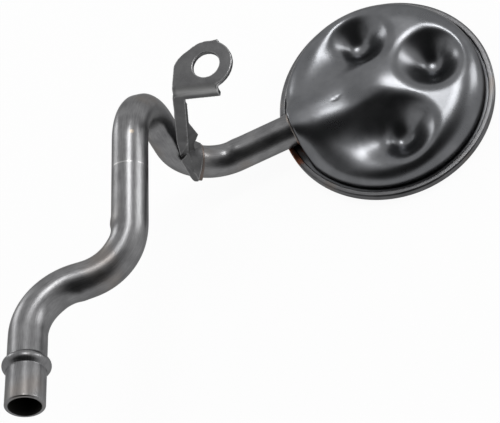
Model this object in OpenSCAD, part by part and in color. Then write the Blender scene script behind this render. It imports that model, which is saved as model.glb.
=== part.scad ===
// Oil pickup tube: a bent steel tube with a beaded outlet, a brazed folded bracket
// and a pressed strainer head with a wire screen. The origin is the centre of the
// bracket's bolt hole, on the upper face of its ear. The strainer looks down.

/* [Tube] */
// Outside diameter of the tube
tube_diameter = 16; // [12:0.5:20]
// Wall thickness of the tube
tube_wall = 1.65; // [1:0.05:2.5]
// Centreline radius of the bends
bend_radius = 25; // [22:0.5:32]
// Straight length from the strainer's axis to the first bend
strainer_leg = 77; // [70:0.5:95]
// Length of tube inside the strainer
tube_insert = 14; // [6:0.5:20]
// Angle of the bend beside the strainer
low_bend = 92.5; // [80:0.5:100]
// Lean of that bend's plane from upright
low_turn = 13; // [0:0.5:25]
// Straight length of the rising leg
rising_leg = 16.5; // [10:0.5:30]
// Angle of the bend at the top
top_bend = 102.5; // [90:0.5:110]
// Turn of the top bend's plane
top_turn = -106; // [-120:0.5:-90]
// Straight length of the long run
long_run = 40.5; // [30:0.5:60]
// Angle of the bend into the offset
offset_bend = 74.5; // [60:0.5:85]
// Turn of the offset bend's plane
offset_turn = -108.5; // [-125:0.5:-95]
// Straight length of the offset
offset_leg = 3.5; // [2:0.5:15]
// Angle of the bend into the outlet
outlet_bend = 78; // [60:0.5:85]
// Turn of the outlet bend's plane
outlet_turn = -163.5; // [-180:0.5:-150]
// Straight length of the outlet
outlet_leg = 32.5; // [28:0.5:45]

/* [Outlet bead] */
// Distance from the outlet's end to the middle of the bead
bead_from_end = 18.5; // [14:0.5:22]
// Height of the bead over the tube
bead_height = 1.8; // [1:0.1:2.2]
// Radius of the bead's round back
bead_round = 2.6; // [2.3:0.1:3]
// Wall thickness left at the bead
bead_wall = 1; // [0.8:0.05:1.2]
// Chamfer around the outlet's end
end_chamfer = 0.6; // [0.2:0.1:0.8]

/* [Strainer cover] */
// Radius of the cover at the foot of its skirt
cover_radius = 49.3; // [46:0.1:56]
// Sheet thickness of the cover
cover_wall = 1.2; // [0.8:0.1:1.5]
// Height of the crown over the sheet that covers the tube
crown_rise = 0.4; // [0.2:0.1:3]
// Fall of the crown from its middle to the dome around it
crown_fall = 4.6; // [3:0.1:6]
// Distance from the axis at which the crown has fallen by half
crown_spread = 18; // [12:0.5:22]
// Distance from the axis at which the dome starts to round into the skirt
shoulder_start = 35; // [30:0.5:40]
// Fullness of the shoulder's curve
shoulder_power = 2.6; // [2:0.1:4]
// Distance of each dimple from the strainer's axis
dimple_pitch = 27.5; // [25:0.5:30]
// Turn of the dimples about the strainer's axis
dimple_turn = 2.5; // [-5:0.5:5]
// Depth of the dimples below the dome
dimple_depth = 12.2; // [8:0.2:13]
// Radius of each dimple's rim
dimple_radius = 17.3; // [15:0.1:19]
// Radius at the bottom of each dimple
dimple_tip = 6.5; // [4:0.1:9]
// Share by which the two side dimples widen towards the spout
dimple_stretch = 0.8; // [0:0.05:0.9]
// Width over which a dimple rounds into its ridge
ridge_round = 2; // [1:0.1:4]
// Half width of the raised spout at the height of the tube's axis
spout_half_width = 14; // [11.5:0.1:15]
// Width over which the spout rounds into the dome
spout_round = 5; // [3:0.1:7]
// Distance from the cover's round outline back to the flat end of the spout
spout_inset = 3; // [1:0.1:5]

/* [Screen and rim] */
// Sheet thickness of the crimped rim
rim_sheet = 1.2; // [0.8:0.1:1.6]
// Width of the crimped lip over the cover's flange
rim_lip = 3; // [2:0.1:3.4]
// Width of the ledge under the screen
rim_ledge = 8; // [6:0.1:11]
// Distance from the skirt's foot to the outside of the rim
rim_overhang = 4.2; // [3.8:0.1:5]
// Outside corner radius of the rim
rim_corner = 1.1; // [0.6:0.1:1.1]
// Total thickness of the screen
screen_thickness = 1; // [0.8:0.1:1.6]
// Distance between the screen's wires
screen_pitch = 8; // [8:0.5:12]
// Width of the screen's wires
screen_wire = 1.6; // [1:0.1:2.5]

/* [Bracket] */
// Sheet thickness of the bracket
bracket_sheet = 2.2; // [1.6:0.1:3]
// Diameter of the bolt hole
bolt_hole = 12.2; // [8:0.1:13]
// Radius of the ear around the bolt hole
ear_radius = 11.8; // [11:0.1:15]
// Length of the ear from the bolt hole to its plain end
ear_reach = 15; // [14:0.1:20]
// Distance from the bolt hole to the front face
ear_front = 12.6; // [11.5:0.1:15]
// Height of the ear's upper face over the strainer leg's axis
ear_height = 81.5; // [76:0.5:90]
// Distance from the bolt hole to the first bend, along the strainer leg
bolt_to_bend = 13; // [9:0.5:17]
// Distance of the bolt hole to the side of the strainer leg
bolt_side = -0.5; // [-3:0.5:3]
// Turn of the bracket about the bolt
bracket_turn = -22; // [-26:0.5:-18]
// Inside radius of the folds
fold_radius = 2; // [1:0.1:3]
// Height of the folded front flange
flange_height = 6.6; // [5.5:0.1:10]
// Length of the front flange past the bolt hole
flange_past_hole = 5.5; // [3:0.1:8]
// Width of the bracket's leg
leg_width = 4.2; // [3.5:0.1:7]
// Distance from the rising tube's axis back to the foot of the bracket's leg
foot_inset = 2.3; // [0.5:0.1:4]
// Distance along the leg to the top of its wing
wing_start = 26; // [20:0.5:32]
// Distance along the leg to the wing's corner
wing_corner = 44; // [40:0.5:48]
// Width of the wing at its corner
wing_width = 6.2; // [4:0.1:8]
// Angle that the wing is folded back
wing_fold = 42; // [20:1:60]
// Height of the leg's foot over the strainer leg's axis
leg_foot = 17; // [14:0.5:19]
// Width of the flange down the leg's side
side_flange = 1.6; // [1:0.1:2.5]
// Place of the saddle's tip, as an angle around the first bend
saddle_from = 43; // [38:1:48]
// Place of the saddle's upper corner under the leg
saddle_to = 86; // [80:1:90]
// Depth that the saddle reaches past the tube's middle
saddle_grip = 2; // [0:0.1:4]

/* [Braze] */
// Gap between brazed pieces
braze_gap = 0.05; // [0.02:0.01:0.1]
// Leg of the braze fillets
braze_leg = 1.5; // [0.8:0.1:2]

/* [Hidden] */
$fn = 64;
tube_radius = tube_diameter / 2;
bore_radius = tube_radius - tube_wall;
straights = [strainer_leg, rising_leg, long_run, offset_leg, outlet_leg];
bends = [low_bend, top_bend, offset_bend, outlet_bend];
turns = [low_turn, top_turn, offset_turn, outlet_turn];
last_leg = len(straights) - 1;
spout_end = cover_radius - spout_inset;
tube_start = spout_end - tube_insert;
strainer_centre = [strainer_leg - bolt_to_bend, -bolt_side, -ear_height];

// Heights in the strainer, from the tube's axis
rim_top = -tube_radius - braze_gap;
flange_top = rim_top - rim_sheet;
flange_bottom = flange_top - cover_wall;
screen_bottom = flange_bottom - screen_thickness;
rim_bottom = screen_bottom - rim_sheet;
crown_top = tube_radius + braze_gap + cover_wall + crown_rise;
rim_radius = cover_radius + rim_overhang;
flange_radius = rim_radius - rim_sheet - 2 * braze_gap;
ledge_radius = rim_radius - rim_ledge;
// Directions of the dimples around the strainer's axis, and of each one's widening
dimple_angles = [-90, 0, 90];
stretch_angles = [120, 0, -120];
stretches = [dimple_stretch, 0, dimple_stretch];
// Growth of the rounding at a dimple's rim where the dimple widens
soft_share = 6;
// Width over which the cover's round outline turns into the spout's flat end
outline_round = 3;
// Height of the skirt's foot over the cover's flange
foot_rise = 0.7;
skirt_foot = flange_top + foot_rise;
// Places along the tube's axis where the spout starts and ends its narrowing and its fade
spout_narrow = [-34, 0];
spout_fade = [-2, 8];
// Share of its width that the spout loses as it narrows
narrow_share = 0.5;
// Divisions of the cover's surface, around and outwards
cover_sides = 96;
outer_rings = 28;
inner_rings = 18;
// Step over which the cover's slope is taken
slope_step = 0.05;
// Levels of the screen's two layers of wires, and their height, as shares of its thickness
wire_levels = [0.1, 0.4];
wire_height = 0.5;

// Lengths of the bracket's sheet
fold_outside = fold_radius + bracket_sheet;
saddle_outside = tube_radius + bracket_sheet;
// Distance that the leg starts beyond the ear's plain end
leg_shift = 1;
leg_drop = ear_height - fold_outside - leg_foot;
leg_reach = bolt_to_bend + bend_radius * sin(saddle_to) - foot_inset - ear_reach - leg_shift;
leg_lean = atan(leg_reach / leg_drop);
leg_length = norm([leg_reach, leg_drop]);
// Corners of the ear, as shares of its radius: the crop's two ends and the end of the back
crop_start = 0.08;
crop_end = [-0.3, 0.9];
back_end = [0.4, 1.03];
// Swell of the sheet at the wing's fold
fold_swell = 0.1;
// Width of the wing below its corner, as a share of its full width
wing_taper = 0.55;
// Angles from the saddle's tip to the corners of its edge, from the inside of the bend outwards
saddle_steps = [13, 6, 2];
// Angles from the saddle's tip to the end of the point and to the hollow behind it
point_step = 5;
hollow_step = 18;
// Depth of the point's two corners past the tube's middle, as shares of the saddle's radius
point_depth = [0.62, 0.7];

// Width and height of the rings that the bending die leaves on the tube
die_mark_width = 1.2;
die_mark_height = 0.05;
// Angle that the bracket's braze spreads along the tube
braze_spread = 4;
// Length by which a cutter stands past the piece that it cuts
cut_spare = 1;

// Carries what follows to the strainer's axis, at the level of the tube's axis
module at_strainer() {
    translate(strainer_centre)
        children();
}

// Carries what follows to the start of one straight leg, with the tube along z
module at_leg(leg) {
    if (leg == 0)
        at_strainer()
            rotate([0, -90, 0])
                children();
    else
        at_leg(leg - 1)
            translate([0, 0, straights[leg - 1]])
                rotate([0, 0, turns[leg - 1]])
                    around_bend(bends[leg - 1])
                        children();
}

// Swings what follows around a bend that curves towards x
module around_bend(angle) {
    translate([bend_radius, 0, 0])
        rotate([0, angle, 0])
            translate([-bend_radius, 0, 0])
                children();
}

// A bend with the given section, whose x points away from the bend's centre
module bend(angle) {
    translate([bend_radius, 0, 0])
        rotate([90, 0, 180])
            rotate_extrude(angle = angle)
                translate([bend_radius, 0])
                    children();
}

module tube_section() {
    difference() {
        circle(r = tube_radius);
        circle(r = bore_radius);
    }
}

// The outlet's half section, from the last bend to the open end
module outlet_section(start) {
    bead_centre = tube_radius + bead_height - bead_round;
    bead_place = outlet_leg - bead_from_end;
    difference() {
        union() {
            polygon([
                [bore_radius, start],
                [tube_radius, start],
                [tube_radius, outlet_leg - end_chamfer],
                [tube_radius - end_chamfer, outlet_leg],
                [bore_radius, outlet_leg],
            ]);
            intersection() {
                translate([bead_centre, bead_place])
                    circle(r = bead_round);
                translate([bore_radius, 0])
                    square([tube_wall + bead_height, outlet_leg]);
            }
        }
        translate([bead_centre, bead_place])
            circle(r = bead_round - bead_wall);
    }
}

// The slight ring that the bending die leaves at either end of a bend
module die_mark() {
    translate([0, 0, -die_mark_width / 2])
        linear_extrude(die_mark_width)
            difference() {
                circle(r = tube_radius + die_mark_height);
                circle(r = bore_radius - die_mark_height);
            }
}

// One straight leg, with the bend that follows it
module tube_leg(leg) {
    under_mark = die_mark_width / 4;
    start = leg == 0 ? tube_start : under_mark;
    if (leg > 0)
        die_mark();
    if (leg < last_leg) {
        translate([0, 0, start])
            linear_extrude(straights[leg] - start - under_mark)
                tube_section();
        translate([0, 0, straights[leg]])
            rotate([0, 0, turns[leg]])
                bend(bends[leg])
                    tube_section();
        translate([0, 0, straights[leg]])
            die_mark();
    } else {
        rotate_extrude()
            outlet_section(start);
    }
}

module pickup_tube() {
    color("#8f9193")
    union() {
        for (leg = [0:last_leg])
            at_leg(leg)
                tube_leg(leg);
    }
}

// The ear's outline, with its round end, cropped corner and straight back
module ear_outline() {
    circle(r = ear_radius);
    polygon([
        [flange_past_hole, fold_outside - ear_front],
        [-ear_reach, fold_outside - ear_front],
        [-ear_reach, ear_radius * crop_start],
        ear_radius * crop_end,
        ear_radius * back_end,
    ]);
}

// The leg's outline in its own plane, with its length along -y
module leg_outline() {
    translate([0, -leg_length])
        square([leg_width, leg_length]);
}

// The flange down the leg's side, which widens into a wing above the tube
module wing_outline() {
    polygon([
        [0, -flange_height],
        [side_flange, -flange_height],
        [side_flange, -wing_start],
        [wing_width, -wing_corner],
        [wing_width * wing_taper, -wing_corner - wing_width],
        [wing_width * wing_taper, -leg_length],
        [0, -leg_length],
    ]);
}

// The bracket's flat and folded sheet about its bolt hole, before it is fitted to the tube
module bracket_sheet_form() {
    translate([0, 0, -bracket_sheet])
        linear_extrude(bracket_sheet)
            intersection() {
                ear_outline();
                translate([-2 * ear_reach, fold_outside - ear_front])
                    square(4 * ear_reach);
            }
    translate([0, 0, -bracket_sheet])
        linear_extrude(bracket_sheet)
            intersection() {
                circle(r = ear_radius);
                translate([flange_past_hole, -ear_radius])
                    square(2 * ear_radius);
            }
    translate([-ear_reach, fold_outside - ear_front, -fold_outside])
        rotate([90, 0, 90])
            linear_extrude(ear_reach + flange_past_hole)
                intersection() {
                    difference() {
                        circle(r = fold_outside);
                        circle(r = fold_radius);
                    }
                    translate([-fold_outside, 0])
                        square(fold_outside);
                }
    translate([-ear_reach, -ear_front, -flange_height])
        cube([ear_reach + flange_past_hole, bracket_sheet, flange_height - fold_outside]);
    translate([-ear_reach - leg_shift, bracket_sheet - ear_front, -fold_outside])
        rotate([0, leg_lean, 0])
            rotate([90, 0, 0])
                leg_with_wing();
}

// The leg and its folded wing, with the sheet's back face at z = 0
module leg_with_wing() {
    linear_extrude(bracket_sheet)
        leg_outline();
    translate([leg_width, 0, bracket_sheet / 2])
        rotate([0, wing_fold, 0])
            translate([0, 0, -bracket_sheet / 2])
                linear_extrude(bracket_sheet)
                    wing_outline();
    translate([leg_width, -leg_length, bracket_sheet / 2])
        rotate([-90, 0, 0])
            cylinder(r = bracket_sheet / 2 + fold_swell, h = leg_length - flange_height);
}

// Place in the first bend's plane, from a distance to its centre and an angle
function bend_place(distance, angle) =
    [bend_radius - distance * cos(angle), distance * sin(angle)];

// Carries what follows to the start of the first bend
module at_first_bend() {
    at_leg(0)
        translate([0, 0, strainer_leg])
            rotate([0, 0, low_turn])
                children();
}

// The saddle's edge that faces the strainer, from the inside of the bend to its tip
function saddle_edge(back) = [
    bend_place(bend_radius - saddle_outside, saddle_from + saddle_steps[0] - back),
    bend_place(bend_radius, saddle_from + saddle_steps[1] - back),
    bend_place(bend_radius + point_depth[0] * saddle_outside, saddle_from + saddle_steps[2] - back),
];

// The saddle's outline, broad under the leg and pointed below the tube
module saddle_outline() {
    polygon(concat(
        [bend_place(bend_radius - tube_radius, saddle_to)],
        saddle_edge(0),
        [
            bend_place(bend_radius + point_depth[1] * saddle_outside, saddle_from + point_step),
            bend_place(bend_radius + saddle_grip, saddle_from + hollow_step),
            bend_place(bend_radius - saddle_grip, saddle_to),
        ]));
}

// Carries an outline in the first bend's plane through the near half of the bend
module through_near_half() {
    rotate([90, 0, 0])
        translate([0, 0, -saddle_grip])
            linear_extrude(saddle_outside + saddle_grip + cut_spare)
                children();
}

// The tongue that lies on the near side of the first bend
module saddle() {
    at_first_bend()
        intersection() {
            bend(low_bend)
                circle(r = saddle_outside);
            through_near_half()
                saddle_outline();
        }
}

// The space that the tube takes, with the gap for braze
module tube_space() {
    space = tube_radius + braze_gap;
    at_first_bend()
        bend(low_bend)
            circle(r = space);
    at_leg(1)
        translate([0, 0, -die_mark_width])
            cylinder(r = space + die_mark_height, h = rising_leg + die_mark_width);
}

module mounting_bracket() {
    color("#77797b")
    difference() {
        union() {
            rotate([0, 0, bracket_turn])
                bracket_sheet_form();
            saddle();
        }
        translate([0, 0, -bracket_sheet - cut_spare])
            cylinder(d = bolt_hole, h = bracket_sheet + 2 * cut_spare);
        tube_space();
    }
}

// Smaller of two heights, rounded over the given width
function soft_min(a, b, width) =
    let (share = max(0, min(1, 0.5 + 0.5 * (b - a) / width)))
    b + (a - b) * share - width * share * (1 - share);

function soft_max(a, b, width) = -soft_min(-a, -b, width);

// Distance from the axis to the cover's outline, which is flat at the spout's end
function edge_radius(angle) =
    cos(angle) < 0
        ? soft_min(cover_radius, spout_end / max(slope_step, -cos(angle)), outline_round)
        : cover_radius;

// Height of the plain dome at a distance from its axis
function dome_height(distance) =
    crown_top - crown_fall + crown_fall / (1 + pow(distance / crown_spread, 2));

// Height of the plain cover, which rounds from the dome into the skirt
function shell_height(distance) =
    let (
        share = max(0, (distance - shoulder_start) / (cover_radius - shoulder_start)),
        left = max(0, 1 - pow(share, shoulder_power)))
    skirt_foot + (dome_height(distance) - skirt_foot) * pow(left, 1 / shoulder_power);

// Way from one dimple's middle to a point
function dimple_way(x, y, dimple) =
    let (angle = dimple_angles[dimple] + dimple_turn)
    [x, y] - dimple_pitch * [cos(angle), sin(angle)];

// Share by which a dimple is widened at a point
function dimple_widening(x, y, dimple) =
    let (
        out = dimple_way(x, y, dimple),
        towards = [cos(stretch_angles[dimple]), sin(stretch_angles[dimple])])
    stretches[dimple] * max(0, out * towards) / max(slope_step, norm(out));

// Width over which a dimple rounds into the dome at a point
function rim_round(x, y, dimple) = ridge_round * (1 + soft_share * dimple_widening(x, y, dimple));

// Depth of one dimple below the dome at a point
function dimple_sink(x, y, dimple) =
    let (
        away = norm(dimple_way(x, y, dimple)) / (1 + pow(dimple_widening(x, y, dimple), 2)),
        full = norm([dimple_radius, dimple_tip]) - dimple_tip)
    dimple_depth * (1 - (norm([away, dimple_tip]) - dimple_tip) / full);

// Share of a step between two places, with soft ends
function smooth_step(places, value) =
    let (part = max(0, min(1, (value - places[0]) / (places[1] - places[0]))))
    part * part * (3 - 2 * part);

// Width that the spout keeps at a place along it, as a share
function spout_share(x) = 1 - narrow_share * smooth_step(spout_narrow, x);

// Height of the spout over the tube, which narrows and fades out towards the middle
function spout_height(x, y) =
    crown_top * (1 - pow(y / (spout_half_width * spout_share(x)), 2) - 2 * smooth_step(spout_fade, x));

// Height of the pressed cover's outside
function cover_height(x, y) =
    let (
        plain = shell_height(norm([x, y]) * cover_radius / edge_radius(atan2(y, x))),
        first = soft_min(plain, plain - dimple_sink(x, y, 0), rim_round(x, y, 0)),
        second = soft_min(first, plain - dimple_sink(x, y, 1), rim_round(x, y, 1)),
        third = soft_min(second, plain - dimple_sink(x, y, 2), rim_round(x, y, 2)))
    x < spout_fade[1] ? soft_max(third, spout_height(x, y), spout_round * spout_share(x)) : third;

function cover_point(x, y) = [x, y, cover_height(x, y)];

// Point on the cover's inside, one sheet thickness below the outside
function inside_point(x, y) =
    let (
        slope_x = (cover_height(x + slope_step, y) - cover_height(x - slope_step, y)) / (2 * slope_step),
        slope_y = (cover_height(x, y + slope_step) - cover_height(x, y - slope_step)) / (2 * slope_step),
        normal = [-slope_x, -slope_y, 1] / norm([slope_x, slope_y, 1]),
        point = cover_point(x, y) - cover_wall * normal,
        reach = norm([point.x, point.y]),
        limit = edge_radius(atan2(y, x)) - cover_wall,
        keep = reach > limit ? limit / reach : 1)
    [point.x * keep, point.y * keep, point.z];

function side_angle(side) = 360 * side / cover_sides;

// Place on the cover's plan, at a share of the way from its axis to its outline
function plan_place(side, share) =
    edge_radius(side_angle(side)) * share * [cos(side_angle(side)), sin(side_angle(side))];

// Share of the way to the outline for one of a number of rings, closer together at the shoulder
function ring_share(ring, rings) = sin(90 * ring / rings);

// Ring of points along the outline, set in by a distance
function outline_ring(inset, height) =
    [for (side = [0:cover_sides - 1])
        let (place = plan_place(side, 1), keep = 1 - inset / norm(place))
        [place.x * keep, place.y * keep, height]];

function round_ring(radius, height) =
    [for (side = [0:cover_sides - 1])
        [radius * cos(side_angle(side)), radius * sin(side_angle(side)), height]];

module strainer_cover() {
    outer = [for (r = [1:outer_rings]) for (side = [0:cover_sides - 1])
        let (place = plan_place(side, ring_share(r, outer_rings)))
        cover_point(place.x, place.y)];
    inner = [for (r = [inner_rings:-1:1]) for (side = [0:cover_sides - 1])
        let (place = plan_place(side, ring_share(r, inner_rings)))
        inside_point(place.x, place.y)];
    edge = concat(
        outline_ring(0, flange_top),
        round_ring(flange_radius, flange_top),
        round_ring(flange_radius, flange_bottom),
        outline_ring(cover_wall, flange_bottom));
    points = concat(outer, edge, inner, [cover_point(0, 0), inside_point(0, 0)]);
    rings = (len(points) - 2) / cover_sides;
    top = rings * cover_sides;
    faces = concat(
        [for (side = [0:cover_sides - 1]) [top, (side + 1) % cover_sides, side]],
        [for (r = [0:rings - 2]) for (side = [0:cover_sides - 1])
            let (next = (side + 1) % cover_sides, low = r * cover_sides, high = low + cover_sides)
            each [
                [low + side, low + next, high + side],
                [low + next, high + next, high + side],
            ]],
        [for (side = [0:cover_sides - 1])
            let (low = (rings - 1) * cover_sides)
            [low + side, low + (side + 1) % cover_sides, top + 1]]);
    color("#85878a")
    at_strainer()
        difference() {
            polyhedron(points = points, faces = faces, convexity = 8);
            rotate([0, -90, 0])
                translate([0, 0, tube_start])
                    cylinder(r = tube_radius + braze_gap, h = cover_radius);
        }
}

// The rim's folded section: ledge, outer wall and crimped lip
module retainer_section() {
    height = rim_top - rim_bottom;
    difference() {
        translate([ledge_radius, rim_bottom])
            square([rim_ledge, height]);
        translate([ledge_radius - cut_spare, rim_bottom + rim_sheet])
            square([rim_ledge + cut_spare - rim_sheet, height - 2 * rim_sheet]);
        translate([ledge_radius - cut_spare, rim_top - rim_sheet - cut_spare])
            square([rim_ledge + cut_spare - rim_lip, rim_sheet + 2 * cut_spare]);
        for (side = [0, 1])
            translate([rim_radius - rim_corner, side == 0 ? rim_bottom + rim_corner : rim_top - rim_corner])
                difference() {
                    translate([0, side == 0 ? -rim_corner : 0])
                        square([rim_corner + cut_spare, rim_corner]);
                    circle(r = rim_corner);
                }
    }
}

module screen_retainer() {
    color("#6f7072")
    at_strainer()
        rotate_extrude()
            retainer_section();
}

// Parallel wires across the screen
module wire_rows() {
    count = floor(ledge_radius / screen_pitch);
    for (row = [-count:count])
        translate([-flange_radius, row * screen_pitch - screen_wire / 2])
            square([2 * flange_radius, screen_wire]);
}

// One layer of wires inside the screen's hem
module wire_layer(turn) {
    intersection() {
        circle(r = ledge_radius);
        rotate(turn)
            wire_rows();
    }
}

module screen() {
    color("#9a9b9c")
    at_strainer()
        translate([0, 0, screen_bottom])
            union() {
                linear_extrude(screen_thickness)
                    difference() {
                        circle(r = flange_radius);
                        circle(r = ledge_radius - screen_wire);
                    }
                translate([0, 0, screen_thickness * wire_levels[0]])
                    linear_extrude(screen_thickness * wire_height)
                        wire_layer(0);
                translate([0, 0, screen_thickness * wire_levels[1]])
                    linear_extrude(screen_thickness * wire_height)
                        wire_layer(90);
            }
}

module strainer_braze() {
    $fn = 180;
    color("#a4603f")
    at_strainer()
        difference() {
            rotate([0, -90, 0])
                translate([0, 0, spout_end + braze_gap])
                    cylinder(r1 = tube_radius + braze_leg, r2 = tube_radius, h = braze_leg);
            rotate([0, -90, 0])
                cylinder(r = tube_radius, h = 2 * cover_radius);
            translate([-2 * cover_radius, -tube_diameter, rim_top - tube_diameter])
                cube([2 * cover_radius, 2 * tube_diameter, tube_diameter]);
        }
}

// A fillet on the tube along the saddle's edge that faces the strainer
module bracket_braze() {
    edge = saddle_edge(0);
    outer_edge = saddle_edge(braze_spread);
    color("#9c6a4d")
    at_first_bend()
        intersection() {
            bend(low_bend)
                difference() {
                    circle(r = tube_radius + braze_leg);
                    circle(r = tube_radius);
                }
            through_near_half()
                polygon(concat(edge, [outer_edge[2], outer_edge[1], outer_edge[0]]));
        }
}

pickup_tube();
mounting_bracket();
strainer_cover();
screen_retainer();
screen();
strainer_braze();
bracket_braze();
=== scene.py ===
# %% [markdown]
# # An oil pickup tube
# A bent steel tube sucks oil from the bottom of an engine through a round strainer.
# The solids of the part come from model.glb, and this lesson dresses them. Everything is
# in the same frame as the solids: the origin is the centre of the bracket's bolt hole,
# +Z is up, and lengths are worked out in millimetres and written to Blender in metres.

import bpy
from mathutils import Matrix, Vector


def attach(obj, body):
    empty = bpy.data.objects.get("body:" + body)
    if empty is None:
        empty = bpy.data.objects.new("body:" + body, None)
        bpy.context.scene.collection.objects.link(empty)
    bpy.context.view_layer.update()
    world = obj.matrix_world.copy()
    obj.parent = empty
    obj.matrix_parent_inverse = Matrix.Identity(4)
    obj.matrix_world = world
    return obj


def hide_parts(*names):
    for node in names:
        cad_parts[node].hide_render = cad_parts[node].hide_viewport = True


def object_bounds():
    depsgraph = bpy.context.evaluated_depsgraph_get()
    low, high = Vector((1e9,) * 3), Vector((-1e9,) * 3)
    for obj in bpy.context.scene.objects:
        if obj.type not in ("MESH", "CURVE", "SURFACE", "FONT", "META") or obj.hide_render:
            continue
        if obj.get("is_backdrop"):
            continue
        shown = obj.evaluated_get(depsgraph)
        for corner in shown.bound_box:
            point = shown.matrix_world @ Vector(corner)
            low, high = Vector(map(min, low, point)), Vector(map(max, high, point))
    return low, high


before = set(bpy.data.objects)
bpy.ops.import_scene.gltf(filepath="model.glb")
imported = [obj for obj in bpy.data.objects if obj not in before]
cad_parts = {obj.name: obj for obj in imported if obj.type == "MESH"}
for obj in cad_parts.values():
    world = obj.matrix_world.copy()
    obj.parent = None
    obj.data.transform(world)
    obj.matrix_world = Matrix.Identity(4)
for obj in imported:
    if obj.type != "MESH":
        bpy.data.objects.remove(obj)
cad_box = [list(corner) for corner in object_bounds()]

import math

import bmesh
import bpy
import numpy as np
from mathutils import Matrix, Vector

print("nodes:", sorted(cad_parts))
print("box of the solids in mm:", [[round(1000 * c, 1) for c in corner] for corner in cad_box])

# %% [markdown]
# ## The measures of the part
# The visible pieces have to lie where the solids lie, so the same named measures are
# written here once more. The tube leaves the strainer along -X and turns through four
# bends; each bend has an angle and a turn of its plane about the tube.

# %% Measures of the tube and the strainer
MM = 0.001
STRAINER = np.array([64.0, 0.5, -81.5])

TUBE_RADIUS = 8.0
BORE_RADIUS = 6.35
BEND_RADIUS = 25.0
STRAIGHTS = [77.0, 16.5, 40.5, 3.5, 32.5]
BENDS = [92.5, 102.5, 74.5, 78.0]
TURNS = [13.0, -106.0, -108.5, -163.5]

COVER_RADIUS = 49.3
COVER_WALL = 1.2
FLANGE_RADIUS = 51.9
RIM_RADIUS = 53.5
LEDGE_RADIUS = 45.5
CROWN_TOP = 9.65
RIM_TOP = -8.05
FLANGE_TOP = -9.25
FLANGE_BOTTOM = -10.45
SCREEN_BOTTOM = -11.45
RIM_BOTTOM = -12.65
SPOUT_CUT = 3.0
TUBE_INSIDE = 14.0
SPOUT_END = COVER_RADIUS - SPOUT_CUT
TUBE_START = SPOUT_END - TUBE_INSIDE

bent_length = sum(math.radians(bend) * BEND_RADIUS for bend in BENDS)
print("tube of", round(sum(STRAIGHTS) - TUBE_START + bent_length), "mm")

# %% [markdown]
# ## The camera
# The photograph was taken with one camera, and its place was found by fitting the tube
# and the strainer to it. The three rows are the part's X, Y and Z axes as that camera
# sees them, which is the same as the camera's own axes in columns. The focal length in
# picture widths gives the lens.

# %% Camera of the photograph
CAMERA_AXES = (
    (0.901645, 0.409969, 0.137702),
    (-0.307180, 0.831220, -0.463373),
    (-0.304429, 0.375499, 0.875399),
)
CAMERA_PLACE = (60.834, -292.727, 412.756)
FOCAL_PIXELS = 1173.21
PICTURE_WIDTH = 500

eye = bpy.data.cameras.new("photo_camera")
eye.sensor_fit = "HORIZONTAL"
eye.sensor_width = 36.0
eye.lens = eye.sensor_width * FOCAL_PIXELS / PICTURE_WIDTH
eye.clip_start = 0.01
camera = bpy.data.objects.new("photo_camera", eye)
bpy.context.scene.collection.objects.link(camera)
camera_turn = Matrix(CAMERA_AXES).to_4x4()
camera.matrix_world = Matrix.Translation(Vector(CAMERA_PLACE) * MM) @ camera_turn
bpy.context.scene.camera = camera
bpy.context.scene.view_settings.view_transform = "Standard"

print("lens of", round(eye.lens, 1), "mm")

# %% [markdown]
# ## A helper for meshes
# Most pieces are rings of points joined by faces: a tube is rings along a path, a rim is
# rings around an axis, a wire is small rings along a wave. One helper joins a grid of
# rings, and one turns points and faces into an object that rides on the part.

# %% Rings to faces, and faces to an object
def join_rings(rings, sides, first=0, close=False):
    """Faces between rings of points, where each ring has the same number of sides."""
    faces = []
    for ring in range(rings if close else rings - 1):
        low = first + ring * sides
        high = first + (ring + 1) % rings * sides
        for side in range(sides):
            after = (side + 1) % sides
            faces.append((low + side, low + after, high + after, high + side))
    return faces


def make_piece(name, points, faces, node, sharp):
    """A smooth mesh from points in mm, which stands for a node of the part."""
    mesh = bpy.data.meshes.new(name)
    mesh.from_pydata([tuple(p) for p in np.asarray(points) * MM], [], faces)
    piece = bpy.data.objects.new(name, mesh)
    bpy.context.scene.collection.objects.link(piece)
    dress(piece, node, sharp)
    return piece


def dress(piece, node, sharp):
    """Shades a piece smoothly, save at edges sharper than an angle, and ties it to the part."""
    fixed = bmesh.new()
    fixed.from_mesh(piece.data)
    bmesh.ops.recalc_face_normals(fixed, faces=fixed.faces)
    fixed.to_mesh(piece.data)
    fixed.free()
    piece.data.shade_smooth()
    piece.data.set_sharp_from_angle(angle=math.radians(sharp))
    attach(piece, "root")
    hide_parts(node)
    print(piece.name, "has", sum(len(p.vertices) - 2 for p in piece.data.polygons), "triangles")


# %% Numbers kept on a mesh, and soft steps between numbers
def write_field(piece, name, values):
    """Keeps one number for each point of a mesh, which a material can read by its name."""
    field = piece.data.attributes.new(name, "FLOAT", "POINT")
    field.data.foreach_set("value", np.asarray(values, np.float32))


def smooth_step(low, high, value):
    """A soft step from 0 at the first number to 1 at the second."""
    share = np.clip((value - low) / (high - low), 0, 1)
    return share * share * (3 - 2 * share)


def soft_max(a, b, width):
    """The larger of two numbers, rounded where they are nearly equal."""
    share = np.clip(0.5 + 0.5 * (a - b) / width, 0, 1)
    return b + (a - b) * share + width * share * (1 - share)


def soft_min(a, b, width):
    return -soft_max(-a, -b, width)


print("halfway up a soft step:", float(smooth_step(0, 1, 0.5)))

# %% [markdown]
# ## The bent tube
# The real tube is drawn steel, bent on a machine. A plain sweep of a circle looks like
# plastic hose, because a bent tube flattens on the outside of each bend and swells a
# little on the inside where the bend starts. So each ring of the sweep has its own
# radius for every direction. The rings are made with turning matrices, one for each
# step along the path.

# %% Path of the tube
PATH_STEP = 0.5


def turned(axis, degrees):
    return np.array(Matrix.Rotation(math.radians(degrees), 4, axis))


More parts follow.
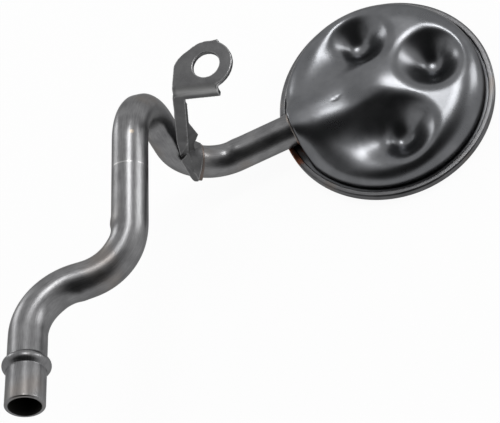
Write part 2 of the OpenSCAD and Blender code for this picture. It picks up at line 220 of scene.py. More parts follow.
def shifted(x, y, z):
    return np.array(Matrix.Translation((x, y, z)))


def swung(degrees):
    """A turn about the centre of a bend, which lies beside the tube."""
    return shifted(BEND_RADIUS, 0, 0) @ turned("Y", degrees) @ shifted(-BEND_RADIUS, 0, 0)


def tube_path(step):
    """Places (frame, length so far, roll), bends (start, end, roll) and the whole length."""
    here = shifted(*STRAINER) @ turned("Y", -90)
    length, roll, places, bends = 0.0, 0.0, [], []
    for leg, straight in enumerate(STRAIGHTS):
        start = TUBE_START if leg == 0 else 0.0
        for along in np.arange(start, straight, step):
            places.append((here @ shifted(0, 0, along), length + along - TUBE_START, roll))
        here = here @ shifted(0, 0, straight)
        length += straight
        if leg < len(BENDS):
            here = here @ turned("Z", TURNS[leg])
            roll += math.radians(TURNS[leg])
            arc = math.radians(BENDS[leg]) * BEND_RADIUS
            bends.append((length - TUBE_START, length - TUBE_START + arc, roll))
            for along in np.arange(0, arc, step):
                bent = here @ swung(math.degrees(along / BEND_RADIUS))
                places.append((bent, length + along - TUBE_START, roll))
            here = here @ swung(BENDS[leg])
            length += arc
    return places, bends, length - TUBE_START


fine_path, bend_marks, tube_length = tube_path(PATH_STEP)
path_lengths = np.array([length for _, length, _ in fine_path])
print("tube of", round(tube_length, 1), "mm, bends at", [round(m[0], 1) for m in bend_marks])

# %% [markdown]
# The section's radius is the heart of the tube. The outside of a bend is pressed flat,
# the inside gets a small swelling at the start of the bend and a shallow pinch after it,
# and the outlet has a rolled bead and a rounded end.

# %% Radius of the tube at each place and direction
FLAT_SHARE = 0.955
FLAT_ROUND = 0.35
FLAT_LIMIT = 0.2
BEND_LEAD = 3
BEND_GRIP = 9
SWELLING = 0.45
SWELLING_AHEAD = 0.5
SWELLING_SPREAD = 2.6
PINCH = 0.3
PINCH_AFTER = 6.5
PINCH_SPREAD = 4.5
BEAD_FROM_END = 18.5
BEAD_ROUND = 2.6
BEAD_CENTRE = 7.2
BEAD_NECK = 0.5
END_ROUND = 0.7


def hump(distance, spread):
    return math.exp(-((distance / spread) ** 2))


def outside_radius(length, angles):
    """Radius of the tube's outside at a length, for every direction."""
    radius = np.full(len(angles), TUBE_RADIUS)
    for start, end, roll in bend_marks:
        inward = np.cos(angles - roll)
        into = smooth_step(start - BEND_LEAD, start + BEND_GRIP, length)
        out_of = smooth_step(end - BEND_GRIP, end + BEND_LEAD, length)
        flat = TUBE_RADIUS * FLAT_SHARE / np.maximum(-inward, FLAT_LIMIT)
        pressed = soft_min(flat, TUBE_RADIUS, FLAT_ROUND)
        radius = radius + into * (1 - out_of) * np.minimum(pressed - TUBE_RADIUS, 0)
        lobe = np.maximum(inward, 0)
        radius = radius + SWELLING * hump(length - start + SWELLING_AHEAD, SWELLING_SPREAD) * lobe**3
        radius = radius - PINCH * hump(length - start - PINCH_AFTER, PINCH_SPREAD) * lobe**2
    from_end = tube_length - length
    across = from_end - BEAD_FROM_END
    if abs(across) < BEAD_ROUND:
        bead = BEAD_CENTRE + math.sqrt(BEAD_ROUND**2 - across**2)
        radius = soft_max(radius, bead, BEAD_NECK)
    if from_end < END_ROUND:
        inset = END_ROUND - from_end
        radius = radius - END_ROUND + math.sqrt(max(END_ROUND**2 - inset**2, 0))
    return radius


bead_middle = outside_radius(tube_length - BEAD_FROM_END, np.zeros(1))
print("bead of", round(2 * float(bead_middle[0]), 1), "mm")

# %% [markdown]
# The rings lie close together at the bead and the end, where the shape changes quickly.
# The bore is a second set of rings with its own near-black, dull finish.

# %% Mesh of the tube
SIDES = 80
END_ZONE = 26
PLAIN_STEP = 0.9
END_STEP = 0.3
BORE_STEP = 2.5
BORE_EDGE = 0.3
BORE_LIP = 0.35
angles = np.arange(SIDES) * 2 * math.pi / SIDES


def inside_radius(length, angles):
    """Radius of the bore, which opens a little at the outlet."""
    return np.full(len(angles), BORE_RADIUS + max(0.0, BORE_LIP - (tube_length - length)))


def frame_at(length):
    """Frame of the tube at any length, from the nearest place on the fine path."""
    index = int(np.searchsorted(path_lengths, length + 1e-6) - 1)
    nearest, before, roll = fine_path[max(index, 0)]
    spare = length - before
    if any(start <= before < end for start, end, _ in bend_marks):
        return nearest @ swung(math.degrees(spare / BEND_RADIUS)), roll
    return nearest @ shifted(0, 0, spare), roll


def ring_points(length, radius_of):
    ring_frame, roll = frame_at(length)
    radius, heading = radius_of(length, angles), angles - roll
    local = [radius * np.cos(heading), radius * np.sin(heading), np.zeros(SIDES), np.ones(SIDES)]
    return (ring_frame @ np.stack(local))[:3].T


outer_stops = np.unique(np.concatenate([
    np.arange(0, tube_length - END_ZONE, PLAIN_STEP),
    np.arange(tube_length - END_ZONE, tube_length - 1, END_STEP),
    tube_length - END_ROUND * (1 - np.cos(np.linspace(math.pi / 2, 0, 8))),
    [tube_length],
]))
inner_stops = np.concatenate([
    [tube_length],
    tube_length - BORE_EDGE * (1 - np.cos(np.linspace(0.5, math.pi / 2, 4))),
    np.arange(tube_length - 2, 0, -BORE_STEP),
    [0],
])
tube_rings = [ring_points(stop, outside_radius) for stop in outer_stops]
tube_rings += [ring_points(stop, inside_radius) for stop in inner_stops]
tube = make_piece(
    "bent_tube", np.concatenate(tube_rings),
    join_rings(len(tube_rings), SIDES, close=True), "pickup_tube", 60)
stops = np.concatenate([outer_stops, inner_stops])
write_field(tube, "along", np.repeat(stops, SIDES))
write_field(tube, "around", np.tile(angles, len(stops)))

# %% [markdown]
# ## The pressed cover
# The cover is one sheet, pressed into a low dome with a full shoulder, three bowls and a
# spout over the tube. It could be sculpted by hand, but a formula for its height can be
# tuned number by number, and it keeps the inside one wall away from the outside. The
# outline is round, but flat where the tube enters, and the dome rounds into the skirt.

# %% Outline and dome of the cover
OUTLINE_ROUND = 3.0
CROWN_FALL = 4.6
CROWN_SPREAD = 18.0
SHOULDER_START = 35.0
SHOULDER_POWER = 2.6
SKIRT_FOOT = FLANGE_TOP + 0.7
LEAST = 0.05


def edge_radius(angle):
    """Distance from the axis to the cover's outline."""
    flat = SPOUT_END / np.maximum(LEAST, -np.cos(angle))
    return np.where(np.cos(angle) < 0, soft_min(COVER_RADIUS, flat, OUTLINE_ROUND), COVER_RADIUS)


def shell_height(reach):
    """Height of the plain cover: a dome that rounds into the skirt."""
    dome = CROWN_TOP - CROWN_FALL + CROWN_FALL / (1 + (reach / CROWN_SPREAD) ** 2)
    share = np.maximum(0, (reach - SHOULDER_START) / (COVER_RADIUS - SHOULDER_START))
    left = np.maximum(0, 1 - share**SHOULDER_POWER)
    return SKIRT_FOOT + (dome - SKIRT_FOOT) * left ** (1 / SHOULDER_POWER)


print("dome at its crown:", round(float(shell_height(0)), 2), "mm")

# %% [markdown]
# Each bowl was pressed with a punch, so it is round at the bottom, steep halfway and soft
# at the rim. The two side bowls widen towards the spout, and there their rims are softer.
# Close to the tube the dome also falls away on the near side.

# %% Bowls of the cover
DIMPLE_TURN = 2.5
DIMPLE_PITCH = 27.5
DIMPLES = [(-90, 150, 0.6), (0, 0, 0.0), (90, -150, 0.6)]
DIMPLE_DEPTH = 12.2
DIMPLE_RADIUS = 17.3
BOWL_SPREAD = 0.5
PUNCH_FLAT = 0.8
PUNCH_SPREAD = 2.6
WIDENING = (7, 20)
RIDGE_ROUND = 1.3
SOFT_RIM = 8
SOFT_SIDE = math.radians(160)
NEAR_FALL = 0.26
NEAR_ACROSS = (6, 34)
NEAR_ALONG = (12, -16)


def bowl(share):
    """Depth of a bowl at a share of its radius, which goes straight on past the rim."""
    edge = math.exp(-0.5 / BOWL_SPREAD**2)
    inside = (np.exp(-0.5 * (share / BOWL_SPREAD) ** 2) - edge) / (1 - edge)
    outside = (1 - share) * edge / BOWL_SPREAD**2 / (1 - edge)
    return DIMPLE_DEPTH * np.where(share < 1, inside, outside)


def dimple(x, y, angle, stretch_angle, stretch):
    """Depth of one bowl below the dome, and the width over which its rim is rounded."""
    turn, lean = math.radians(angle + DIMPLE_TURN), math.radians(stretch_angle)
    side = math.copysign(SOFT_SIDE, stretch_angle)
    dx, dy = x - DIMPLE_PITCH * math.cos(turn), y - DIMPLE_PITCH * math.sin(turn)
    away = np.maximum(LEAST, np.hypot(dx, dy))
    facing = np.maximum(0, dx * math.cos(lean) + dy * math.sin(lean)) / away
    soft = np.maximum(0, dx * math.cos(side) + dy * math.sin(side)) / away
    nose = PUNCH_FLAT * np.exp(-0.5 * (away / PUNCH_SPREAD) ** 2)
    away = away / (1 + (stretch * facing) ** 2 * smooth_step(*WIDENING, away))
    width = RIDGE_ROUND * (1 + SOFT_RIM * stretch * soft**2)
    return bowl(away / DIMPLE_RADIUS) - nose, width


def pressed_height(x, y):
    """Height of the dome with its three bowls."""
    plain = shell_height(np.hypot(x, y) * COVER_RADIUS / edge_radius(np.arctan2(y, x)))
    near_side = smooth_step(*NEAR_ACROSS, -y) * smooth_step(*NEAR_ALONG, x)
    plain = plain - NEAR_FALL * (plain - SKIRT_FOOT) * near_side
    height = plain
    for form in DIMPLES:
        sink, width = dimple(x, y, *form)
        height = soft_min(height, plain - sink, width)
    return height


print("bowls reach down to", round(float(pressed_height(DIMPLE_PITCH, 1.2)), 1), "mm")

# %% [markdown]
# Over the tube the sheet is lifted to the line of the spout, which sinks a little and
# runs on as a ridge to the middle, between the two side bowls. The ridge is narrower on
# its near side.

# %% Spout and ridge of the cover
SPOUT_SPREAD = 9.5
SPOUT_ROUND = 0.8
LINE_STEPS = [(-46, -32, -0.3), (-36, -16, -1.7), (-16, 2, 1.2)]
NARROWING = 0.5
NARROW_ALONG = (-36, 0)
NARROW_ACROSS = (4, -4)
RIDGE_FADE = (-2, 8)


def cover_height(x, y):
    """Height of the cover: the dome and bowls, lifted to the line of the spout and its ridge."""
    height = pressed_height(x, y)
    line = CROWN_TOP
    for low, high, rise in LINE_STEPS:
        line = line + rise * smooth_step(low, high, x)
    narrow = smooth_step(*NARROW_ALONG, x) * smooth_step(*NARROW_ACROSS, y)
    spread = SPOUT_SPREAD * (1 - NARROWING * narrow)
    share = np.exp(-0.5 * np.abs(y / spread) ** 3) * (1 - smooth_step(*RIDGE_FADE, x))
    return height + share * soft_max(0, line - height, SPOUT_ROUND)


print("spout over the tube's end:", round(float(cover_height(-SPOUT_END + 1, 0)), 1), "mm")

# %% [markdown]
# A small dent on the spout's ridge shows where the sheet was struck. It goes into the
# height as well, so that it is there in the mesh and not only in the shading. The end of
# the spout is rounded over, as sheet always is at a drawn edge.

# %% Grid of the cover
COVER_SIDES = 300
EDGE_ROUND = 1.1
RAISED_OVER = 4
DENT, DENT_SIZE, DENT_DEPTH = (-21.6, 0.7), (1.6, 0.7), 0.22
SCRAPE, SCRAPE_SIZE, SCRAPE_DEPTH = (-19.4, 1.6), (1.2, 0.45), 0.12
SLOPE_STEP = 0.05

turns = np.arange(COVER_SIDES) * 2 * math.pi / COVER_SIDES
outline = edge_radius(turns)


def struck(x, y, spot, size):
    """1 in the middle of a small mark, and 0 away from it."""
    return np.exp(-(((x - spot[0]) / size[0]) ** 2) - ((y - spot[1]) / size[1]) ** 2)


def outside_points(share):
    x, y = outline * share * np.cos(turns), outline * share * np.sin(turns)
    height = cover_height(x, y)
    over = np.clip((outline * share - outline + EDGE_ROUND) / EDGE_ROUND, 0, 1)
    raised = np.clip((height - SKIRT_FOOT) / RAISED_OVER, 0, 1)
    height = height - raised * EDGE_ROUND * (1 - np.sqrt(1 - over**2))
    height = height - DENT_DEPTH * struck(x, y, DENT, DENT_SIZE)
    return np.stack([x, y, height - SCRAPE_DEPTH * struck(x, y, SCRAPE, SCRAPE_SIZE)], axis=1)


def inside_points(share):
    x, y = outline * share * np.cos(turns), outline * share * np.sin(turns)
    step = SLOPE_STEP
    slope_x = (cover_height(x + step, y) - cover_height(x - step, y)) / (2 * step)
    slope_y = (cover_height(x, y + step) - cover_height(x, y - step)) / (2 * step)
    normal = np.stack([-slope_x, -slope_y, np.ones(len(x))], axis=1)
    normal /= np.linalg.norm(normal, axis=1)[:, None]
    point = np.stack([x, y, cover_height(x, y)], axis=1) - COVER_WALL * normal
    reach = np.hypot(point[:, 0], point[:, 1])
    keep = np.minimum(1, (outline - COVER_WALL) / np.maximum(reach, 1e-6))
    return point * np.stack([keep, keep, np.ones(len(x))], axis=1)


def level_ring(radius, height):
    reach = radius + np.zeros(COVER_SIDES)
    return np.stack([reach * np.cos(turns), reach * np.sin(turns), np.full(COVER_SIDES, height)], axis=1)


print("outline from", round(outline.min(), 1), "to", round(outline.max(), 1), "mm")

# %% Mesh of the cover
middle_shares = np.linspace(0.008, 0.88, 84)
shoulder_shares = np.sin(np.linspace(math.asin(0.885), math.pi / 2, 34))
inside_shares = np.sin(np.linspace(math.pi / 2, 0.016, 50))

cover_rings = [outside_points(share) for share in np.concatenate([middle_shares, shoulder_shares])]
cover_rings += [
    level_ring(outline, FLANGE_TOP + 0.1),
    level_ring(outline + 0.15, FLANGE_TOP),
    level_ring(FLANGE_RADIUS, FLANGE_TOP),
    level_ring(FLANGE_RADIUS, FLANGE_BOTTOM),
    level_ring(outline - COVER_WALL, FLANGE_BOTTOM),
]
cover_rings += [inside_points(share) for share in inside_shares]
cover_faces = join_rings(len(cover_rings), COVER_SIDES)
last = (len(cover_rings) - 1) * COVER_SIDES
cover_faces.append(tuple(range(COVER_SIDES - 1, -1, -1)))
cover_faces.append(tuple(range(last, last + COVER_SIDES)))
cover = make_piece(
    "pressed_cover", np.concatenate(cover_rings) + STRAINER, cover_faces,
    "strainer_cover", 40)

# %% [markdown]
# The opening for the tube is cut through the end of the spout with a Boolean modifier.
# The modifier's result becomes the mesh itself, so that nothing is left to work out later.

# %% Opening for the tube
OPENING_SLACK = 0.02
OPENING_START = -62


def settle(piece):
    """Makes what a piece's modifiers show its own mesh."""
    bpy.context.view_layer.update()
    shown = piece.evaluated_get(bpy.context.evaluated_depsgraph_get())
    made = bpy.data.meshes.new_from_object(shown)
    piece.modifiers.clear()
    piece.data = made


def cut_round(piece, radius, start, end):
    """Cuts a round opening along X at the height of the tube."""
    bpy.ops.mesh.primitive_cylinder_add(vertices=96, radius=radius * MM, depth=(end - start) * MM)
    cutter = bpy.context.object
    cutter.rotation_euler = (0, math.pi / 2, 0)
    cutter.location = (STRAINER + [(start + end) / 2, 0, 0]) * MM
    cut = piece.modifiers.new("tube_opening", "BOOLEAN")
    cut.object, cut.operation, cut.solver = cutter, "DIFFERENCE", "EXACT"
    settle(piece)
    bpy.data.objects.remove(cutter)
    print(piece.name, "cut, now", len(piece.data.polygons), "faces")


cut_round(cover, TUBE_RADIUS + OPENING_SLACK, OPENING_START, -TUBE_START)

# %% [markdown]
# ## The crimped rim
# A flat ring is folded over the cover's flange and the edge of the screen. It is round,
# so its section is drawn once and spun. The lip's inner edge is rounded, because that
# bright line beside the dark groove is what shows that the rim is a separate piece.

# %% Section of the rim
LIP_RADIUS = 50.5
LIP_ROUND = 0.5
LEDGE_ROUND = 0.5
CORNER = 1.1
GROOVE_RADIUS = 52.2
GROOVE_TOP = FLANGE_TOP + 0.05


def arc(radius, height, size, start, end, count):
    """Points of a rounded corner of a section, around a centre."""
    sweep = np.radians(np.linspace(start, end, count))
    return [(radius + size * math.cos(a), height + size * math.sin(a)) for a in sweep]


rim_section = (
    [(LEDGE_RADIUS + 1.0, SCREEN_BOTTOM)]
    + arc(LEDGE_RADIUS + LEDGE_ROUND, SCREEN_BOTTOM - LEDGE_ROUND, LEDGE_ROUND, 90, 180, 5)
    + arc(LEDGE_RADIUS + LEDGE_ROUND, RIM_BOTTOM + LEDGE_ROUND, LEDGE_ROUND, 180, 270, 5)
    + [(radius, RIM_BOTTOM) for radius in (47.5, 49.5, 51.3)]
    + arc(RIM_RADIUS - CORNER, RIM_BOTTOM + CORNER, CORNER, 270, 360, 9)
    + [(RIM_RADIUS, height) for height in (-11.0, -10.35, -9.7)]
    + arc(RIM_RADIUS - CORNER, RIM_TOP - CORNER, CORNER, 0, 90, 9)
    + [(51.7, RIM_TOP - 0.02)]
    + arc(LIP_RADIUS + LIP_ROUND, RIM_TOP - LIP_ROUND, LIP_ROUND, 90, 180, 6)
    + [(LIP_RADIUS, GROOVE_TOP), (GROOVE_RADIUS, GROOVE_TOP), (GROOVE_RADIUS, SCREEN_BOTTOM)]
)
print("section of the rim has", len(rim_section), "points")

# %% [markdown]
# No folded lip is quite even, so its ring is a little wavy. The sum of a few waves around
# a ring will also serve for the uneven edge of the braze.

# %% Mesh of the rim
RIM_WAVES = [(37, 0.05, 0.6), (11, 0.04, 0.0)]
WAVY_INSIDE = 52


def waves_around(angles, level, waves):
    """A level with waves around a ring, each with a count, a height and a start."""
    total = level + np.zeros(len(angles))
    for count, height, start in waves:
        total = total + height * np.sin(count * angles + start)
    return total


ripple = waves_around(turns, 0.0, RIM_WAVES)
rim_rings = []
for radius, height in rim_section:
    wavy = height > FLANGE_TOP and radius < WAVY_INSIDE
    rim_rings.append(level_ring(radius + ripple if wavy else radius, height))
rim = make_piece(
    "crimped_rim", np.concatenate(rim_rings) + STRAINER,
    join_rings(len(rim_rings), COVER_SIDES, close=True), "screen_retainer", 50)
steps = np.linalg.norm(np.diff(np.array(rim_section), axis=0), axis=1)
write_field(rim, "across", np.repeat(np.concatenate([[0], np.cumsum(steps)]), COVER_SIDES))
write_field(rim, "around", np.tile(turns, len(rim_section)))

# %% [markdown]
# ## The wire screen
# The screen is woven wire. In a plain weave each wire goes over one wire and under the
# next, so its height is a wave, and neighbours are half a wave apart. Real wires in the
# mesh give true gaps, which a picture of a weave would not.

# %% Mesh of the woven screen
WIRE_PITCH = 1.9
WIRE_RADIUS = 0.26
WIRE_SIDES = 5
WEAVE_HEIGHT = 0.22
RINGS_PER_PITCH = 4
SCREEN_EDGE = 46.4
SCREEN_LEVEL = (FLANGE_BOTTOM + SCREEN_BOTTOM) / 2


def woven_wire(offset, row, crosswise):
    """Points of one wire at a distance from the middle, and the number of its rings."""
    half = math.sqrt(max(SCREEN_EDGE**2 - offset**2, 0))
    along = np.arange(-half, half + 1e-6, WIRE_PITCH / RINGS_PER_PITCH)
    wave = WEAVE_HEIGHT * np.cos(math.pi * along / WIRE_PITCH + math.pi * (row + crosswise))
    sweep = np.arange(WIRE_SIDES) * 2 * math.pi / WIRE_SIDES
    aside = offset + WIRE_RADIUS * np.cos(sweep)[None, :] + 0 * along[:, None]
    level = SCREEN_LEVEL + wave[:, None] + WIRE_RADIUS * np.sin(sweep)[None, :]
    run = along[:, None] + 0 * sweep[None, :]
    points = (aside, run, level) if crosswise else (run, aside, level)
    return np.stack(points, axis=2).reshape(-1, 3), len(along)


wire_points, wire_faces, first = [], [], 0
rows = int(SCREEN_EDGE / WIRE_PITCH)
for crosswise in (0, 1):
    for row in range(-rows, rows + 1):
        points, rings = woven_wire(row * WIRE_PITCH, row, crosswise)
        if rings < 2:
            continue
        wire_points.append(points)
        wire_faces += join_rings(rings, WIRE_SIDES, first)
        end = first + rings * WIRE_SIDES
        wire_faces.append(tuple(range(first + WIRE_SIDES - 1, first - 1, -1)))
        wire_faces.append(tuple(range(end - WIRE_SIDES, end)))
        first = end
gauze = make_piece(
    "wire_gauze", np.concatenate(wire_points) + STRAINER, wire_faces, "screen", 80)

# %% [markdown]
# ## The folded bracket and its braze
# The bracket is sheet, cut and folded, with edges that tumbling has rounded. Its solid
# has crisp edges. A copy of the solid's mesh is rebuilt from small cubes and smoothed,
# which rounds every edge by the same small amount and leaves the flats flat. Three sheets
# join the copy first: the ear's full outline, the leg's full width and its curled foot.

# %% Sheets that join the bracket
BRACKET_TURN = Matrix.Rotation(math.radians(-22), 4, "Z")
SHEET_WALL = 2.2
LEG_FRONT = -12.6
EAR_FILL = [
    (-15, -7), (-14.9, 1.2), (-13.3, 4.3), (-10.7, 6.8), (-8.0, 8.7), (-2.2, 11.3), (4.7, 12.1),
    (3.5, 8.3), (0, 9), (-4.5, 7.8), (-7.8, 4.5), (-9, 0), (-9, -5)]
LEG_FACE = [
    (-15.0, -3.0), (-21.9, -21.6), (-30.2, -46.2), (-32.8, -55.5),
    (-28.0, -57.0), (-24.2, -46.0), (-16.0, -21.6), (-10.8, -6.0), (-10.2, -3.5)]
LEG_FOOT = [
    (-30.2, -12.6, -46.4), (-31.9, -14.9, -56.0), (-31.0, -17.3, -58.6), (-30.1, -18.0, -61.8),
    (-29.0, -19.1, -67.0), (-28.7, -20.1, -73.2), (-28.1, -20.1, -73.2), (-27.9, -19.2, -69.0),
    (-27.9, -18.2, -66.2), (-28.0, -15.9, -61.5), (-28.0, -13.2, -57.0), (-24.8, -12.6, -47.3)]


def sheet(corners, step):
    """Corners of a sheet's two faces: an outline in the bracket's frame, and a step away."""
    both = [Vector(corner) + Vector(step) * layer for layer in (0, 1) for corner in corners]
    return [BRACKET_TURN @ corner * MM for corner in both]


ear_sheet = sheet([(x, y, -SHEET_WALL) for x, y in EAR_FILL], (0, 0, SHEET_WALL))
leg_sheet = sheet([(x, LEG_FRONT, z) for x, z in LEG_FACE], (0, SHEET_WALL, 0))
foot_sheet = sheet(LEG_FOOT, (0, SHEET_WALL, 0))
print("corners of the sheets:", [len(corners) for corners in (ear_sheet, leg_sheet, foot_sheet)])

# %% Rounded copies of the bracket and its braze
def add_sheet(welded, corners):
    """Closes two outlines of corners into a sheet with sides."""
    half = len(corners) // 2
    points = [welded.verts.new(corner) for corner in corners]
    sides = []
    for here in range(half):
        after = (here + 1) % half
        corner_points = points[here], points[after], points[after + half], points[here + half]
        sides.append(welded.faces.new(corner_points))
    sides += [welded.faces.new(points[:half]), welded.faces.new(points[half:])]
    bmesh.ops.recalc_face_normals(welded, faces=sides)


def rounded_copy(name, node, cell, passes, added=()):
    """A copy of a node's mesh, joined with sheets, in cubes of a size and smoothed."""
    welded = bmesh.new()
    welded.from_mesh(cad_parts[node].data)
    bmesh.ops.remove_doubles(welded, verts=welded.verts, dist=1e-7)
    for corners in added:
        add_sheet(welded, corners)
    mesh = bpy.data.meshes.new(name)
    welded.to_mesh(mesh)
    welded.free()
    piece = bpy.data.objects.new(name, mesh)
    bpy.context.scene.collection.objects.link(piece)
    cubes = piece.modifiers.new("cubes", "REMESH")
    cubes.mode, cubes.voxel_size = "VOXEL", cell * MM
    soft = piece.modifiers.new("soft", "SMOOTH")
    soft.factor, soft.iterations = 0.5, passes
    settle(piece)
    piece.data.materials.clear()
    dress(piece, node, 70)
    return piece


bracket = rounded_copy(
    "folded_bracket", "mounting_bracket", cell=0.3, passes=6,
    added=(ear_sheet, leg_sheet, foot_sheet))
saddle_braze = rounded_copy("saddle_braze", "bracket_braze", cell=0.16, passes=8)

# %% [markdown]
# Worn edges are brighter than flats. How sharply a mesh turns at a point can be measured
# from how far the point stands out from the middle of its neighbours. That number is
# kept on the mesh, and the bracket's finish reads it. A second number marks the fold
# between the ear and the leg, where a highlight is painted into the colour.

# %% Sharpness of the bracket's edges, and a highlight painted on its fold
SHARP_PERCENT = 97
# Where the highlight painted on the fold lies: its line, its width, and where it starts.
FOLD_LINE, FOLD_SPREAD = -11.4, 1.3
FOLD_RISE = (-4.5, -2.0)
FOLD_START = (-15.5, -12.5)


def mesh_numbers(items, name, width, kind=float):
    """Numbers of all points or edges of a mesh, one row for each."""
    numbers = np.zeros(len(items) * width, kind)
    items.foreach_get(name, numbers)
    return numbers.reshape(-1, width)


def edge_field(mesh, passes):
    """How sharply a mesh stands out at each point, from -1 to 1."""
    places = mesh_numbers(mesh.vertices, "co", 3)
    normals = mesh_numbers(mesh.vertices, "normal", 3)
    ends = mesh_numbers(mesh.edges, "vertices", 2, int)
    degree = np.bincount(ends.ravel(), minlength=len(places))[:, None]

    def around_mean(values):
        total = np.zeros_like(values)
        np.add.at(total, ends[:, 0], values[ends[:, 1]])
        np.add.at(total, ends[:, 1], values[ends[:, 0]])
        return total / np.maximum(degree, 1)

    sharpness = ((places - around_mean(places)) * normals).sum(axis=1, keepdims=True)
    for _ in range(passes):
        sharpness = 0.5 * sharpness + 0.5 * around_mean(sharpness)
    scale = np.percentile(np.abs(sharpness), SHARP_PERCENT)
    return np.clip(sharpness[:, 0] / scale, -1, 1)


edge = edge_field(bracket.data, 3)
write_field(bracket, "edge", edge)
in_bracket = np.array([BRACKET_TURN.inverted() @ v.co / MM for v in bracket.data.vertices])
# A painted highlight along the fold, in a soft band about the fold line.
fold = np.exp(-(((in_bracket[:, 1] - FOLD_LINE) / FOLD_SPREAD) ** 2))
fold = fold * smooth_step(*FOLD_RISE, in_bracket[:, 2])
write_field(bracket, "painted_fold_highlight", fold * smooth_step(*FOLD_START, in_bracket[:, 0]))
print("sharp points:", int((edge > 0.5).sum()), "of", len(edge))

# %% [markdown]
# ## The braze around the tube
# Where the tube enters the spout, copper was melted into the joint. It is a hollow
# fillet that runs around the tube, with an uneven edge. Its section is a quarter circle
# seen from outside, from the tube to the end of the spout, and it stops at the rim.

# %% Mesh of the fillet
FILLET_SIDES = 160
FILLET_SIZE = 1.15
FILLET_WAVES = [(3, 0.18, 1.0), (8, 0.12, 0.0), (19, 0.07, 0.0)]
FILLET_INNER = TUBE_RADIUS - 0.05
FILLET_OUTER = TUBE_RADIUS + 0.6
FILLET_BEHIND = 0.3
FILLET_FLOOR = RIM_TOP + 0.01

fillet_turns = np.arange(FILLET_SIDES) * 2 * math.pi / FILLET_SIDES
uneven = waves_around(fillet_turns, FILLET_SIZE, FILLET_WAVES)


def fillet_ring(away, out):
    """A ring at a distance from the tube's axis and out from the end of the spout."""
    x = -SPOUT_END - out + np.zeros(FILLET_SIDES)
    y, z = away * np.sin(fillet_turns), away * np.cos(fillet_turns)
    return np.stack([x, y, np.maximum(z, FILLET_FLOOR)], axis=1)


fillet_rings = []
for quarter in np.linspace(0, 1, 9) * math.pi / 2:
    away = FILLET_INNER + uneven * (1 - math.cos(quarter))
    fillet_rings.append(fillet_ring(away, uneven * (1 - math.sin(quarter))))
fillet_rings += [fillet_ring(away, -FILLET_BEHIND) for away in (FILLET_OUTER, FILLET_INNER)]
fillet = make_piece(
    "spout_braze", np.concatenate(fillet_rings) + STRAINER,
    join_rings(len(fillet_rings), FILLET_SIDES, close=True), "strainer_braze", 60)

# %% [markdown]
# ## Writing finishes as sums
# A finish is a web of shader nodes, and most of those nodes only add, multiply or mix
# numbers. A small class wraps one output of a node, so that such a sum is written as
# plain Python and the Math nodes appear by themselves. One method makes every other node:
# it takes the node's type, the settings that go first, and the values or links of its
# sockets.

# %% A class for sums of sockets
class Field:
    """One output of a node. Sums of fields add Math nodes to the same tree."""

    def __init__(self, tree, socket=None):
        self.tree, self.socket = tree, socket

    def node(self, kind, settings=None, sockets=None, output=0):
        made = self.tree.nodes.new(kind)
        for name, value in (settings or {}).items():
            setattr(made, name, value)
        for name, value in (sockets or {}).items():
            if isinstance(value, Field):
                self.tree.links.new(value.socket, made.inputs[name])
            else:
                made.inputs[name].default_value = value
        return Field(self.tree, made.outputs[output]) if made.outputs else made

    def sum(self, operation, first, second):
        return self.node("ShaderNodeMath", {"operation": operation}, {0: first, 1: second})

    def __add__(self, other):
        return self.sum("ADD", self, other)

    def __radd__(self, other):
        return self.sum("ADD", other, self)

    def __sub__(self, other):
        return self.sum("SUBTRACT", self, other)

    def __rsub__(self, other):
        return self.sum("SUBTRACT", other, self)

    def __mul__(self, other):
        return self.sum("MULTIPLY", self, other)

    def __rmul__(self, other):
        return self.sum("MULTIPLY", other, self)

    def range(self, low, high, new_low=0.0, new_high=1.0):
        """This field, with a soft step from one range of numbers to another."""
        return self.node(
            "ShaderNodeMapRange", {"interpolation_type": "SMOOTHSTEP"},
            {"Value": self, "From Min": low, "From Max": high, "To Min": new_low, "To Max": new_high})

    def mix(self, first, second):
        """A colour between two colours, with this field as the share of the second."""
        colours = {0: self, 6: colour(first), 7: colour(second)}
        return self.node("ShaderNodeMix", {"data_type": "RGBA"}, colours, 2)


def colour(value):
    return value if isinstance(value, Field) else (*value, 1)


print("a Field has", [name for name in vars(Field) if not name.startswith("__")])

# %% [markdown]
# A few more helpers start and end a finish and make the nodes that every finish uses.
# Sizes are in millimetres here as well.

# %% Helpers for finishes
EDGE_TINT = (0.5, 0.5, 0.5, 1)
NOISE_ROUGH = 0.55
SOCKETS = {
    "base": "Base Color", "metal": "Metallic", "rough": "Roughness",
    "normal": "Normal", "level": "Specular IOR Level"}


def finish(name):
    """An empty material and a field that starts its sums."""
    made = bpy.data.materials.new(name)
    made.use_nodes = True
    made.node_tree.nodes.clear()
    return made, Field(made.node_tree)


def surface(start, **sockets):
    """Ends a finish: the shader and the material's output."""
    named = {SOCKETS[key]: value for key, value in sockets.items()}
    shader = start.node("ShaderNodeBsdfPrincipled", {}, {**named, "Specular Tint": EDGE_TINT})
    start.node("ShaderNodeOutputMaterial", {}, {"Surface": shader})


def place(start):
    return start.node("ShaderNodeTexCoord", {}, {}, "Object")


def noise(start, vector, size_mm, detail=3.0):
    """Noise whose spots are about this size, from 0 to 1."""
    sockets = {"Vector": vector, "Scale": 1 / (size_mm * MM), "Detail": detail, "Roughness": NOISE_ROUGH}
    return start.node("ShaderNodeTexNoise", {}, sockets)


def stored(start, name):
    """A number that was kept on the mesh."""
    return start.node("ShaderNodeAttribute", {"attribute_name": name}, {}, "Fac")


def together(start, x, y, z):
    return start.node("ShaderNodeCombineXYZ", {}, {"X": x, "Y": y, "Z": z})


def bump(start, height, strength, depth_mm):
    sockets = {"Height": height, "Strength": strength, "Distance": depth_mm * MM}
    return start.node("ShaderNodeBump", {}, sockets)


def near(start, vector, spot, inner, outer):
    """1 inside a distance in mm from a spot in mm, and 0 outside a larger one."""
    ends = {0: vector, 1: tuple(np.asarray(spot) * MM)}
    away = start.node("ShaderNodeVectorMath", {"operation": "DISTANCE"}, ends, "Value")
    return away.range(inner * MM, outer * MM, 1.0, 0.0)


